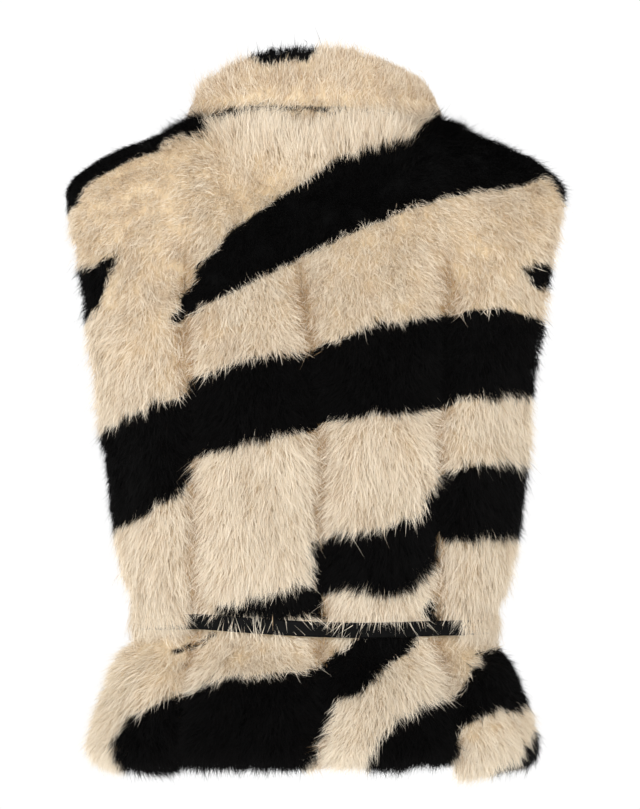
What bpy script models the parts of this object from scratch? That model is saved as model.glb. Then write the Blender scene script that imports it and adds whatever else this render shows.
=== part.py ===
"""Sleeveless fur jacket (a belted vest), hollow as worn, at its real size.

Metres, +Z up. The wearer faces +Y, so the wearer's left is -X. The origin lies midway between the two
shoulders, level with the inside of the cloth at the neck, where the wearer carries the weight.

Every cloth piece is a wall between its backing, which is the smooth form of the garment's inside, and
the tips of its pile. The pile is pressed down at seams and under the belt and rounds off at free edges.
"""

import bmesh
import bpy
import numpy as np

# The fur cloth
PILE = 0.018  # from the inner side of the backing to the tips of the pile
SEAM_GAP = 0.0004  # between two pieces that are sewn together
PRESSED_SEAM = 0.50  # share of the pile that stands at a seam of the back
FADED_SEAM = 0.86  # the same above the shoulder blades, where those seams fade out
FADE_FROM_Z, FADE_LENGTH = -0.150, 0.090
PRESSED_SIDE = 0.78  # share that stands at the side and shoulder seams, which hardly show
PRESSED_NECK = 0.85  # share that stands at the seam under the collar
PRESSED_EDGE = 0.35  # share that stands at a free edge
SEAM_REACH = 0.040  # how far from a seam the pile is full again
EDGE_REACH = 0.020  # how far from a free edge the pile is full again

# Heights of the garment's main lines
NECK_Z = 0.022
SHOULDER_TIP_Z = -0.044
UNDERARM_Z = -0.250
WAIST_Z = -0.431
FRONT_NECK_Z = -0.100
HEM_Z = {
    "side_left": -0.549, "centre_left": -0.541, "centre_right": -0.541, "side_right": -0.553, "front": -0.546,
}

# Armholes: half their width along the cloth, behind and in front of the side line
ARMHOLE_BACK = 0.066
ARMHOLE_FRONT = 0.062
ARMHOLE_MIDDLE_Z = (SHOULDER_TIP_Z + UNDERARM_Z) / 2
ARMHOLE_HALF_HEIGHT = (SHOULDER_TIP_Z - UNDERARM_Z) / 2
ARMHOLE_ROWS = 10
NECK_HALF_WIDTH = 0.081  # at the upper end of the front neckline
NECKLINE_BEND = 0.60  # under 1 the front neckline is round, at 1 it is a straight V
NECKLINE_EASE = 0.030  # height over which the front's free edge turns into the neck seam

# The belt and its buckle
BELT_WIDTH, BELT_THICK, BELT_EDGE = 0.013, 0.0024, 0.0006
BELT_LEVEL, BELT_SIDE = 0.070, 0.166  # the belt is level in front within the first x and reaches the side at the second
BELT_BED = 0.0055  # pile left under the belt
BELT_GROOVE, SIDE_GROOVE = 0.026, 0.022  # half height of the pressed band round the belt, and at the sides
SIDE_FROM_X, SIDE_EASE = 0.100, 0.030  # where the pile at the sides starts to close over the belt
BELT_CLEAR = 0.0014  # from the pressed pile to the belt
BELT_START = -0.020  # where the strap's under end lies, along the belt from the middle of the front
BELT_TAIL = 0.062  # the free end past the middle of the front
BELT_LIFT = 0.028  # length over which the upper end climbs onto the under end
BELT_LEAD = 0.035  # how far before the under end that climb starts
BELT_TIP_SHARE = 0.4  # width of the strap's rounded tip, as a share of its full width
BELT_STEPS = 96
# How much higher the belt lies at the back than in front, seen from behind. One row for each place: x, rise
BELT_RISE = (
    (-0.166, 0.006), (-0.105, 0.011), (-0.060, 0.009), (-0.012, 0.0065), (0.030, 0.005), (0.120, 0.005), (0.166, 0.003),
)
# Corners of the strap's section, with its edges taken off. One row for each corner:
# half widths across, edges taken off the width, thicknesses out, edges added to the thickness
STRAP_OUTLINE = (
    (-1, 1, 0, 0), (-1, 0, 0, 1), (-1, 0, 1, -1), (-1, 1, 1, 0),
    (1, 1, 1, 0), (1, 0, 1, -1), (1, 0, 0, 1), (1, 1, 0, 0),
)
BUCKLE_WIDTH, BUCKLE_HEIGHT, BUCKLE_BAR, BUCKLE_THICK = 0.027, 0.023, 0.0032, 0.0026
BUCKLE_CLEAR = 0.0005
BUCKLE_CORNER, BUCKLE_CORNER_STEPS = 0.005, 5
PRONG_WIDTH, PRONG_THICK, PRONG_RINGS = 0.0026, 0.0020, 4
# Section of the buckle's frame and of the prong, with the upper edges taken off. One row for each corner:
# share of the way from the outer side to the inner side, share of the thickness
BAR_SECTION = ((0.0, 0.0), (0.0, 0.7), (0.2, 1.0), (0.8, 1.0), (1.0, 0.7), (1.0, 0.0))

# The smooth form at the tips of the pile, from below the hem to the neck. One row for each level:
# height, half width, depth behind the shoulder line, depth in front of it, squareness of the oval
FORM = (
    (-0.600, 0.200, 0.148, 0.142, 2.2),
    (-0.555, 0.200, 0.146, 0.140, 2.2),
    (-0.520, 0.198, 0.142, 0.137, 2.2),
    (-0.470, 0.181, 0.130, 0.124, 2.2),
    (-0.431, 0.166, 0.120, 0.114, 2.2),
    (-0.395, 0.171, 0.121, 0.116, 2.2),
    (-0.345, 0.181, 0.125, 0.123, 2.3),
    (-0.250, 0.193, 0.129, 0.131, 2.4),
    (-0.170, 0.219, 0.129, 0.128, 2.5),
    (-0.110, 0.228, 0.123, 0.115, 2.5),
    (-0.062, 0.231, 0.112, 0.097, 2.4),
    (-0.040, 0.222, 0.106, 0.087, 2.3),
    (-0.020, 0.196, 0.100, 0.078, 2.2),
    (0.000, 0.154, 0.091, 0.067, 2.1),
    (0.012, 0.118, 0.081, 0.059, 2.0),
    (0.022, 0.087, 0.068, 0.051, 2.0),
    (0.030, 0.068, 0.056, 0.044, 2.0),
)

# Where the seams of the back run, seen from behind. One row for each level:
# height, x of the left seam, of the centre seam and of the right seam
BACK_SEAMS = (
    (-0.600, -0.124, 0.006, 0.130),
    (-0.540, -0.122, 0.006, 0.127),
    (-0.431, -0.109, 0.006, 0.112),
    (-0.270, -0.108, 0.003, 0.109),
    (-0.180, -0.112, -0.005, 0.114),
    (-0.110, -0.112, -0.014, 0.116),
    (-0.040, -0.102, -0.010, 0.104),
    (0.030, -0.066, 0.000, 0.066),
)
LEFT_SEAM, CENTRE_SEAM, RIGHT_SEAM = 1, 2, 3

# Rows of points from hem to neck, closer where the form turns
ROWS_ABOVE_HEM = (0.0, 0.005, 0.014)
ROWS_OF_SKIRT = (-0.522, -0.498, -0.474, -0.458, -0.446, -0.438)
ROWS_OF_TRUNK = (-0.424, -0.416, -0.404, -0.382, -0.345, -0.305, -0.272, -0.258)
ROWS_OF_ARMHOLE = tuple(
    ARMHOLE_MIDDLE_Z - ARMHOLE_HALF_HEIGHT * np.cos(np.pi * k / ARMHOLE_ROWS) for k in range(ARMHOLE_ROWS + 1)
)
ROWS_OF_SHOULDER = (-0.034, -0.020, -0.006, 0.006, 0.015, NECK_Z)
ROW_HEIGHTS = sorted(ROWS_OF_SKIRT + ROWS_OF_TRUNK + ROWS_OF_ARMHOLE + (FRONT_NECK_Z,) + ROWS_OF_SHOULDER)
CENTRE_COLUMNS, SIDE_COLUMNS, FRONT_COLUMNS = 10, 11, 13
CROWDING = 0.115  # how much closer the columns lie near the edges of a piece

# Collar, from the middle of the back to one front end. One row for each station:
# share of the way, height, thickness, lean away from the neck in degrees
COLLAR = (
    (0.00, 0.052, 0.038, 0.0),
    (0.08, 0.051, 0.038, 0.0),
    (0.16, 0.047, 0.037, 0.0),
    (0.24, 0.040, 0.035, 1.0),
    (0.32, 0.034, 0.033, 4.0),
    (0.41, 0.029, 0.031, 10.0),
    (0.50, 0.028, 0.030, 20.0),
    (0.70, 0.029, 0.030, 36.0),
    (0.90, 0.028, 0.028, 45.0),
    (1.00, 0.020, 0.020, 48.0),
)
# The collar's roll from its neck side over the fold to its outer side:
# share of the thickness, share of the height above the panels' highest tips
COLLAR_OUTLINE = (
    (-0.02, 0.18), (-0.02, 0.42), (0.02, 0.68), (0.12, 0.88), (0.28, 1.00),
    (0.46, 0.97), (0.66, 0.82), (0.84, 0.60), (0.97, 0.36), (1.03, 0.14),
)
# The collar's underside from its outer side back to the neck:
# share of the thickness, share of the thickness within which tips hold it up
COLLAR_UNDERSIDE = ((0.97, 0.2), (0.76, 0.2), (0.52, 0.2), (0.28, 0.2), (0.02, 0.4))
COLLAR_STATIONS = 45
COLLAR_CLEAR = 0.0010
COLLAR_END = 0.014  # length of neckline left free at each side of the middle of the front
COLLAR_EVENING = 3  # times that the neckline under the collar is evened out
COLLAR_REACH_ALONG = 1.2  # stations each way within which the panels' tips hold the collar up
COLLAR_REACH_UP = 0.054  # height within which they do
TIP_STEPS = 4  # points between two of a panel's own when the collar is laid on it

SECTION_POINTS = 361
SLOPE_STEP = 0.002  # height each way over which the form's slope is taken
SHARP_ANGLE = 50  # degrees between two faces over which their edge is sharp

# Materials: name, colour, roughness, metallic
FUR = ("fur cloth", (0.70, 0.58, 0.42), 0.85, 0.0)
LEATHER = ("leather", (0.012, 0.011, 0.010), 0.40, 0.0)
METAL = ("darkened metal", (0.060, 0.060, 0.065), 0.35, 1.0)


def unit(vectors):
    return vectors / np.linalg.norm(vectors, axis=-1, keepdims=True)


def smooth_between(knots, values, at):
    """Cubic curve through the knots, whose slopes come from each knot's neighbours."""
    slopes = np.gradient(values, knots)
    at = np.clip(at, knots[0], knots[-1])
    i = np.clip(np.searchsorted(knots, at) - 1, 0, len(knots) - 2)
    span = knots[i + 1] - knots[i]
    t = (at - knots[i]) / span
    straight = values[i] * (1 + 2 * t) * (1 - t) ** 2 + values[i + 1] * t * t * (3 - 2 * t)
    return straight + span * (slopes[i] * t * (1 - t) ** 2 + slopes[i + 1] * t * t * (t - 1))


def from_table(table, column, at):
    """A column of a table, read at a value of its first column."""
    rows = np.array(table)
    return smooth_between(rows[:, 0], rows[:, column], at)


def resample(lengths, along, values):
    return np.stack([np.interp(lengths, along, column) for column in values.T], axis=1)


def lengths_along(path):
    steps = np.linalg.norm(np.diff(path, axis=0), axis=1)
    return np.concatenate([[0], np.cumsum(steps)])


def oval(z, side):
    """The form at one height, from the wearer's right side round the back or the front to the left side."""
    half_width, behind, before, square = (from_table(FORM, column, z) for column in (1, 2, 3, 4))
    angle = np.linspace(0, np.pi, SECTION_POINTS)
    depth = -behind if side == "back" else before
    x = half_width * np.sign(np.cos(angle)) * np.abs(np.cos(angle)) ** (2 / square)
    y = depth * np.abs(np.sin(angle)) ** (2 / square)
    return np.stack([x, y, np.full(SECTION_POINTS, z)], axis=1)


class Section:
    """One height of the form: points, outward normals and lengths along the cloth from the right side."""

    def __init__(self, z, side):
        self.points = oval(z, side)
        rise = oval(z + SLOPE_STEP, side) - oval(z - SLOPE_STEP, side)
        normals = unit(np.cross(np.gradient(self.points, axis=0), rise))
        outward = (normals[:, :2] * self.points[:, :2]).sum(axis=1) > 0
        self.normals = normals * np.where(outward, 1, -1)[:, None]
        self.along = lengths_along(self.points)
        self.length = self.along[-1]

    def at(self, lengths):
        """Points and normals at these lengths along the cloth."""
        return resample(lengths, self.along, self.points), unit(resample(lengths, self.along, self.normals))

    def where_x(self, x):
        """The length along the cloth at which the section crosses this x."""
        return np.interp(-x, -self.points[:, 0], self.along)


def armhole_width(z, half_width):
    """Length along the cloth from the side line to the armhole's edge, which is half an ellipse."""
    up = (z - ARMHOLE_MIDDLE_Z) / ARMHOLE_HALF_HEIGHT
    return half_width * np.sqrt(max(0.0, 1 - up**2))


def armhole_distance(from_side, z, half_width):
    """Distance over the cloth, near enough, from the armhole's edge to a point outside it."""
    across = from_side / half_width
    up = (z - ARMHOLE_MIDDLE_Z) / ARMHOLE_HALF_HEIGHT
    reach = np.hypot(across, up)
    slope = np.hypot(across / half_width, up / ARMHOLE_HALF_HEIGHT) / reach
    return np.maximum(0, (reach - 1) / slope)


def neckline_x(z):
    """How far the front neckline lies from the middle, where it starts, as it climbs to the shoulder."""
    climb = np.clip((z - FRONT_NECK_Z) / (NECK_Z - FRONT_NECK_Z), 0, 1)
    return NECK_HALF_WIDTH * climb**NECKLINE_BEND


def belt_height(x, side):
    """The belt is level in front, climbs at the sides and lies highest at the left of the back."""
    rise = from_table(BELT_RISE, 1, x)
    if side == "back":
        return WAIST_Z + rise
    aside = np.clip((np.abs(x) - BELT_LEVEL) / (BELT_SIDE - BELT_LEVEL), 0, 1)
    return WAIST_Z + rise * aside * aside * (3 - 2 * aside)


def pressed(distance, share):
    """Share of the pile that stands near a seam, where it stands as the share given."""
    near = np.clip(distance / SEAM_REACH, 0, 1)
    return share + (1 - share) * near * (2 - near)


def rounded(distance):
    """Share of the pile that stands near a free edge, whose section is a quarter circle."""
    near = 1 - np.clip(distance / EDGE_REACH, 0, 1)
    return PRESSED_EDGE + (1 - PRESSED_EDGE) * np.sqrt(1 - near**2)


def under_belt(x, z, side):
    """Share of the pile that stands beside the belt, in a band with a flat bottom."""
    aside = np.clip((np.abs(x) - SIDE_FROM_X) / SIDE_EASE, 0, 1)
    away = np.abs(z - belt_height(x, side)) / (BELT_GROOVE + (SIDE_GROOVE - BELT_GROOVE) * aside)
    return 1 - (1 - BELT_BED / PILE) * np.exp(-(away**3))


def seam_share(z):
    """The back's seams are deep below the shoulder blades and fade out above them."""
    fade = np.clip((z - FADE_FROM_Z) / FADE_LENGTH, 0, 1)
    return PRESSED_SEAM + (FADED_SEAM - PRESSED_SEAM) * fade * fade * (3 - 2 * fade)


def side_share(z, from_side, half_width):
    """Share of the pile that stands near the side seam, the armhole and the shoulder seam."""
    return pressed(from_side, PRESSED_SIDE) * rounded(armhole_distance(from_side, z, half_width))


class Panel:
    """A cut piece of the fur cloth: rows of points on its backing and at the tips of its pile.

    edges gives the lengths along a section where the piece starts and ends, and standing the share of
    the pile that stands there, before what the hem, the neck and the belt press down.
    """

    def __init__(self, hem, side, columns, edges, standing):
        even = np.linspace(0, 1, columns)
        shares = even - CROWDING * np.sin(2 * np.pi * even)
        backing, tips = [], []
        for z in [hem + rise for rise in ROWS_ABOVE_HEM] + list(ROW_HEIGHTS):
            section = Section(z, side)
            start, end = edges(section, z)
            lengths = start + SEAM_GAP / 2 + (end - start - SEAM_GAP) * shares
            points, normals = section.at(lengths)
            share = standing(section, z, lengths, start, end) * under_belt(points[:, 0], z, side)
            share = share * rounded(z - hem) * pressed(NECK_Z - z, PRESSED_NECK)
            backing.append(points - PILE * normals)
            tips.append(backing[-1] + PILE * share[:, None] * normals)
        self.backing, self.tips = np.array(backing), np.array(tips)


def centre_panel(hem, right_seam, left_seam):
    """A centre back piece between two of the back's seams."""

    def edges(section, z):
        return [section.where_x(from_table(BACK_SEAMS, seam, z)) for seam in (right_seam, left_seam)]

    def standing(section, z, lengths, start, end):
        return pressed(lengths - start, seam_share(z)) * pressed(end - lengths, seam_share(z))

    return Panel(hem, "back", CENTRE_COLUMNS, edges, standing)


def side_panel(hem, seam):
    """A side back piece, from one of the back's seams to the side seam, armhole and shoulder seam."""

    def edges(section, z):
        at_seam = section.where_x(from_table(BACK_SEAMS, seam, z))
        armhole = armhole_width(z, ARMHOLE_BACK)
        return (at_seam, section.length - armhole) if seam == LEFT_SEAM else (armhole, at_seam)

    def standing(section, z, lengths, start, end):
        from_seam, from_side = lengths - start, section.length - lengths
        if seam == RIGHT_SEAM:
            from_seam, from_side = end - lengths, lengths
        return pressed(from_seam, seam_share(z)) * side_share(z, from_side, ARMHOLE_BACK)

    return Panel(hem, "back", SIDE_COLUMNS, edges, standing)


def front_panel(left):
    """A front, from its middle edge and the neckline to the side seam, armhole and shoulder seam."""

    def edges(section, z):
        armhole = armhole_width(z, ARMHOLE_FRONT)
        if left:
            return section.where_x(-neckline_x(z)), section.length - armhole
        return armhole, section.where_x(neckline_x(z))

    def standing(section, z, lengths, start, end):
        from_middle, from_side = end - lengths, lengths
        if left:
            from_middle, from_side = lengths - start, section.length - lengths
        at_neck = np.clip((z - FRONT_NECK_Z) / NECKLINE_EASE, 0, 1)
        middle_share = (1 - at_neck) * rounded(from_middle) + at_neck * pressed(from_middle, PRESSED_NECK)
        return middle_share * side_share(z, from_side, ARMHOLE_FRONT)

    return Panel(HEM_Z["front"], "front", FRONT_COLUMNS, edges, standing)


def body_panels():
    """The six pieces of the body by name, the back's four in order from the wearer's right to the left."""
    return {
        "back_side_right": side_panel(HEM_Z["side_right"], RIGHT_SEAM),
        "back_centre_right": centre_panel(HEM_Z["centre_right"], RIGHT_SEAM, CENTRE_SEAM),
        "back_centre_left": centre_panel(HEM_Z["centre_left"], CENTRE_SEAM, LEFT_SEAM),
        "back_side_left": side_panel(HEM_Z["side_left"], LEFT_SEAM),
        "front_left": front_panel(left=True),
        "front_right": front_panel(left=False),
    }


def neckline_path(body):
    """The backing's edge at the neck, from the right front end over the back to the left front end."""
    below = len(ROWS_ABOVE_HEM) + ROW_HEIGHTS.index(FRONT_NECK_Z)
    right = body["front_right"].backing[below:, -1]
    left = body["front_left"].backing[below:, 0][::-1]
    back = [panel.backing[-1] for name, panel in body.items() if name.startswith("back")]
    path = np.concatenate([right, *back, left])
    along = lengths_along(path)
    even = resample(np.linspace(COLLAR_END, along[-1] - COLLAR_END, COLLAR_STATIONS), along, path)
    for _ in range(COLLAR_EVENING):
        even[1:-1] = (even[:-2] + 2 * even[1:-1] + even[2:]) / 4
    return even


def finer(grid, times):
    """A grid of points with more rows and columns, in straight lines between its own."""
    for axis in (0, 1):
        places = np.linspace(0, grid.shape[axis] - 1, times * (grid.shape[axis] - 1) + 1)
        low = np.minimum(places.astype(int), grid.shape[axis] - 2)
        share = (places - low).reshape((-1, 1, 1) if axis == 0 else (1, -1, 1))
        grid = np.take(grid, low, axis) * (1 - share) + np.take(grid, low + 1, axis) * share
    return grid


def collar_rings(body):
    """Rings of the collar's roll, whose underside follows the tips of the panels that it lies on."""
    path = neckline_path(body)
    spacing = lengths_along(path)[-1] / (COLLAR_STATIONS - 1)
    tips = np.concatenate([finer(panel.tips, TIP_STEPS).reshape(-1, 3) for panel in body.values()])
    outline = np.array(COLLAR_OUTLINE)
    turns = np.linspace(-1, 1, COLLAR_STATIONS)
    rings = []
    for place, ahead, turn in zip(path, unit(np.gradient(path, axis=0)), turns):
        height, thick, lean = (from_table(COLLAR, column, abs(turn)) for column in (1, 2, 3))
        outward = unit(np.cross([0, 0, 1.0], ahead))
        outward = outward * np.sign(outward[:2] @ place[:2])
        upward = unit(np.cross(outward, ahead))
        upward = upward * np.sign(upward[2])
        angle = np.radians(lean)
        stand = np.cos(angle) * upward + np.sin(angle) * outward
        across = np.cos(angle) * outward - np.sin(angle) * upward
        away = tips - place
        near = np.abs(away @ ahead) < COLLAR_REACH_ALONG * spacing
        near &= np.abs(away @ stand) < COLLAR_REACH_UP
        beside, raised = away[near] @ across, away[near] @ stand
        under, within = np.array(COLLAR_UNDERSIDE).T * thick
        held_up = [raised[np.abs(beside - at) < reach].max() for at, reach in zip(under, within)]
        floor = COLLAR_CLEAR + np.array(held_up)
        wide = np.concatenate([outline[:, 0] * thick, under])
        high = np.concatenate([floor.max() + outline[:, 1] * height, floor])
        rings.append(place + np.outer(wide, across) + np.outer(high, stand))
    return rings


def waist_line(places):
    """Points on the backing under the belt and their normals, at lengths from the middle of the front.

    The lengths run over the wearer's left side and the back to the right side, and past the start again.
    """
    front, back = Section(WAIST_Z, "front"), Section(WAIST_Z, "back")
    half = front.length / 2
    once = front.length + back.length
    around = places % once
    points, normals = front.at(np.where(around < half, half + around, around - half - back.length))
    behind, behind_normals = back.at(back.length - (around - half))
    is_back = ((around > half) & (around < half + back.length))[:, None]
    points = np.where(is_back, behind, points)
    normals = np.where(is_back, behind_normals, normals)
    heights = [belt_height(points[:, 0], side) for side in ("back", "front")]
    points[:, 2] = np.where(is_back[:, 0], *heights)
    return points - PILE * normals, normals, once


def strap_rings():
    """Rings of the strap, once round the waist and on over its own under end."""
    once = waist_line(np.zeros(1))[2]
    places = np.linspace(BELT_START, once + BELT_TAIL, BELT_STEPS)
    points, normals, _ = waist_line(places)
    climbed = np.clip((places - (once + BELT_START - BELT_LEAD)) / BELT_LIFT, 0, 1)
    lift = (BELT_THICK + BUCKLE_CLEAR) * climbed * climbed * (3 - 2 * climbed)
    ahead = unit(np.gradient(points, axis=0))
    upward = unit(np.cross(ahead, normals))
    upward = upward * np.sign(upward[:, 2:])
    to_tip = np.clip((places[-1] - places) / (BELT_WIDTH / 2), 0, 1)
    roundness = np.sqrt(1 - (1 - to_tip) ** 2)
    half_width = BELT_WIDTH / 2 * (BELT_TIP_SHARE + (1 - BELT_TIP_SHARE) * roundness)
    corners = []
    for across, inset, out, shaved in STRAP_OUTLINE:
        wide = across * (half_width - inset * BELT_EDGE)
        deep = BELT_BED + BELT_CLEAR + lift + out * BELT_THICK + shaved * BELT_EDGE
        corners.append(points + deep[:, None] * normals + wide[:, None] * upward)
    return np.stack(corners, axis=1)


def rounded_rectangle(width, height, corner):
    """Points of a rounded rectangle round the origin, as offsets across and up."""
    turn = np.linspace(0, np.pi / 2, BUCKLE_CORNER_STEPS)
    points = []
    for quarter, (right, top) in enumerate(((1, 1), (-1, 1), (-1, -1), (1, -1))):
        angle = turn + quarter * np.pi / 2
        across = right * (width / 2 - corner) + corner * np.cos(angle)
        points.append(np.stack([across, top * (height / 2 - corner) + corner * np.sin(angle)], axis=1))
    return np.concatenate(points)


def buckle_place():
    """Where the buckle's back face lies: over the strap's two layers at the middle of the front."""
    points, normals, _ = waist_line(np.zeros(1))
    layers = BELT_BED + BELT_CLEAR + 2 * BELT_THICK + 2 * BUCKLE_CLEAR
    return points[0] + layers * normals[0]


def frame_rings():
    """Rings of the buckle's frame: a bar of flat section along a rounded rectangle."""
    place = buckle_place()
    outer = rounded_rectangle(BUCKLE_WIDTH, BUCKLE_HEIGHT, BUCKLE_CORNER)
    inner = rounded_rectangle(
        BUCKLE_WIDTH - 2 * BUCKLE_BAR, BUCKLE_HEIGHT - 2 * BUCKLE_BAR, BUCKLE_CORNER - BUCKLE_BAR
    )
    rings = []
    for far, near in zip(outer, inner):
        ring = []
        for share, out in BAR_SECTION:
            across, up = far + share * (near - far)
            ring.append(place + [across, out * BUCKLE_THICK, up])
        rings.append(ring)
    return rings + rings[:1]


def prong_rings():
    """Rings of the prong, a bar across the frame's opening with its upper edges taken off."""
    place = buckle_place()
    half = BUCKLE_WIDTH / 2 - BUCKLE_BAR - SEAM_GAP
    section = np.array([(0, out * PRONG_THICK, (share - 0.5) * PRONG_WIDTH) for share, out in BAR_SECTION])
    return [place + section + [x, 0, 0] for x in np.linspace(-half, half, PRONG_RINGS)]


def wall_mesh(panel):
    """A closed wall between a panel's backing and its tips.

    Its four sides are split from the backing of one row to the tips of the next one up, so that the sides
    of two pieces that are sewn together turn alike and stay clear of each other.
    """
    builder = bmesh.new()
    inner = [[builder.verts.new(at) for at in row] for row in panel.backing]
    outer = [[builder.verts.new(at) for at in row] for row in panel.tips]
    rows, columns = len(inner), len(inner[0])
    for i in range(rows - 1):
        for j in range(columns - 1):
            for grid in (inner, outer):
                builder.faces.new((grid[i][j], grid[i][j + 1], grid[i + 1][j + 1], grid[i + 1][j]))
    sides = [[(0, j) for j in range(columns)], [(rows - 1, j) for j in range(columns)]]
    sides += [[(i, 0) for i in range(rows)], [(i, columns - 1) for i in range(rows)]]
    for side in sides:
        for (i, j), (k, m) in zip(side, side[1:]):
            builder.faces.new((inner[i][j], outer[k][m], inner[k][m]))
            builder.faces.new((inner[i][j], outer[i][j], outer[k][m]))
    return builder


def tube_mesh(rings, is_loop=False):
    """A closed solid through rings of points, capped at its ends unless the rings run in a loop."""
    builder = bmesh.new()
    loops = [[builder.verts.new(at) for at in ring] for ring in (rings[:-1] if is_loop else rings)]
    for first, second in zip(loops, loops[1:] + loops[:1] if is_loop else loops[1:]):
        for k in range(len(first)):
            following = (k + 1) % len(first)
            builder.faces.new((first[k], first[following], second[following], second[k]))
    if not is_loop:
        builder.faces.new(loops[0])
        builder.faces.new(loops[-1])
    return builder


def make_material(name, colour, roughness, metallic):
    material = bpy.data.materials.new(name)
    material.use_nodes = True
    shader = material.node_tree.nodes["Principled BSDF"]
    shader.inputs["Base Color"].default_value = (*colour, 1)
    shader.inputs["Roughness"].default_value = roughness
    shader.inputs["Metallic"].default_value = metallic
    return material


def add_piece(name, builder, material, parent):
    """A named object from a bmesh, with its faces turned outwards."""
    bmesh.ops.recalc_face_normals(builder, faces=builder.faces)
    mesh = bpy.data.meshes.new(name)
    builder.to_mesh(mesh)
    builder.free()
    mesh.shade_smooth()
    mesh.set_sharp_from_angle(angle=np.radians(SHARP_ANGLE))
    mesh.materials.append(material)
    piece = bpy.data.objects.new(name, mesh)
    piece.parent = parent
    bpy.context.scene.collection.objects.link(piece)


def build_jacket():
    for left_over in list(bpy.data.objects):
        bpy.data.objects.remove(left_over)
    jacket = bpy.data.objects.new("fur_jacket", None)
    bpy.context.scene.collection.objects.link(jacket)

    fur, leather, metal = (make_material(*finish) for finish in (FUR, LEATHER, METAL))
    body = body_panels()
    for name, panel in body.items():
        add_piece(name, wall_mesh(panel), fur, jacket)
    add_piece("collar", tube_mesh(collar_rings(body)), fur, jacket)

    add_piece("belt_strap", tube_mesh(strap_rings()), leather, jacket)
    add_piece("belt_buckle", tube_mesh(frame_rings(), is_loop=True), metal, jacket)
    add_piece("belt_prong", tube_mesh(prong_rings()), metal, jacket)


build_jacket()
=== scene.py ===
"""Looks of a sleeveless fur jacket with a narrow belt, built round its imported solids.

Each fur piece is a closed shell of backing and underfur on its solid's form, and a pile of strands that
grow out of that shell and end at the solid's surface. The strands carry the stripes of a zebra print.
"""

import bpy
import numpy as np
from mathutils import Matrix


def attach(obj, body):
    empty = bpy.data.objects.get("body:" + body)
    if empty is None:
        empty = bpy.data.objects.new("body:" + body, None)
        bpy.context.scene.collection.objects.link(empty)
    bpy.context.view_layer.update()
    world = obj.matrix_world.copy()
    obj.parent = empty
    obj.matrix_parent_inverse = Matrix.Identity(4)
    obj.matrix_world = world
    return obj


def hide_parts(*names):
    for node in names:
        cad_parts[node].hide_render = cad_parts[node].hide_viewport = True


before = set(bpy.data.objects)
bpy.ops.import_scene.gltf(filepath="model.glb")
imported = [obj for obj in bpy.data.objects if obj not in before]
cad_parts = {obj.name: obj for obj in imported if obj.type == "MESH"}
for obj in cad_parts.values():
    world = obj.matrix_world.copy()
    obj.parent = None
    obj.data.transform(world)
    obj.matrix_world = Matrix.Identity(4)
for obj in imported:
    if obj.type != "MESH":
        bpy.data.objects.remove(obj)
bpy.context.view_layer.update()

bl_info = {
    "name": "Striped Fur Jacket",
    "version": (1, 0, 0),
    "blender": (4, 5, 0),
    "location": "3D View > Sidebar > Jacket",
    "description": "Fur, belt and stage of a sleeveless fur jacket, built round its packed solids",
    "category": "Object",
}

BODY = "root"
SEED = 7
MM = 0.001
JOIN = 0.00002  # corners of a solid's triangles that lie closer than this are one point
STRAP_SECTORS = 60  # parts of a turn in which the strap's height is taken
STRAND_TRIANGLES = 2

# Rows of colour across a strand's map, from tan over pale to black
UV_MAP = "OFBake"
ROW_REACH = 0.008  # half the width of a strand's own row
FIRST_ROW, WARM_ROW, PALE_SPAN, DARK_ROWS = 0.02, 0.26, 0.46, 0.5
WARM_TONE = 0.97, 0.96, 0.95

# Which faces of a solid carry pile: the least cosine between a face and the way out from the wearer's axis
AXIS_TOP = -0.100  # the axis ends at this height, below the shoulders
PANEL_FACES = 0.30
COLLAR_FACES = -0.60
INNER_FACES = 0.30  # faces that look at the wearer this straight are the inside

# Seams. Ranges here and below are start and end. Lengths are in metres, leans in degrees
SEAM_TOUCH = 0.003  # the edge of a piece lies this close to its neighbour at a seam
SEAM_CLOSE = 0.0005  # how far the cloth's edges grow, to meet at the seams
SEAM_REACH, SEAM_TRIM = (0.002, 0.013), 0.003  # where the pile is tan with painted shade and shorter, and by how much
SEAM_FAN, FAN_SHARE = 0.050, 0.8  # how far from a seam it leans that way, and how much
SEAM_FADE = 0.090, 0.150  # depths below the origin over which seams start to show
SEAM_SMOOTH, SMOOTHING = 0.035, 2  # above that, how far from a seam the pile closes over it, and how much
SIDE_SEAM = 0.150  # seams farther than this from the middle are side seams, which hardly show

# Fur pieces of the body. Columns: triangles of pile, the cut's width, length and area, height of the hem
PANELS = {
    "back_centre_left": (165000, 0.135, 0.600, 0.066, -0.541),
    "back_centre_right": (165000, 0.140, 0.600, 0.070, -0.541),
    "back_side_left": (165000, 0.190, 0.640, 0.082, -0.549),
    "back_side_right": (165000, 0.190, 0.640, 0.082, -0.553),
    "front_left": (95000, 0.265, 0.620, 0.134, -0.546),
    "front_right": (95000, 0.265, 0.620, 0.134, -0.546),
}
COLLAR_TRIANGLES = 100000
HEMS = {name: row[-1] for name, row in PANELS.items()}
HEM_FUR, HEM_FUR_REACH = 0.006, 0.035  # how far fur hangs past the cloth, and how high that is felt
HEM_REACH = 0.006, 0.030  # heights above the hem over which the pile stops hanging
HEM_SLOPE = -0.125, -0.050  # where the hem of the left centre back slopes to its neighbour's

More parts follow.
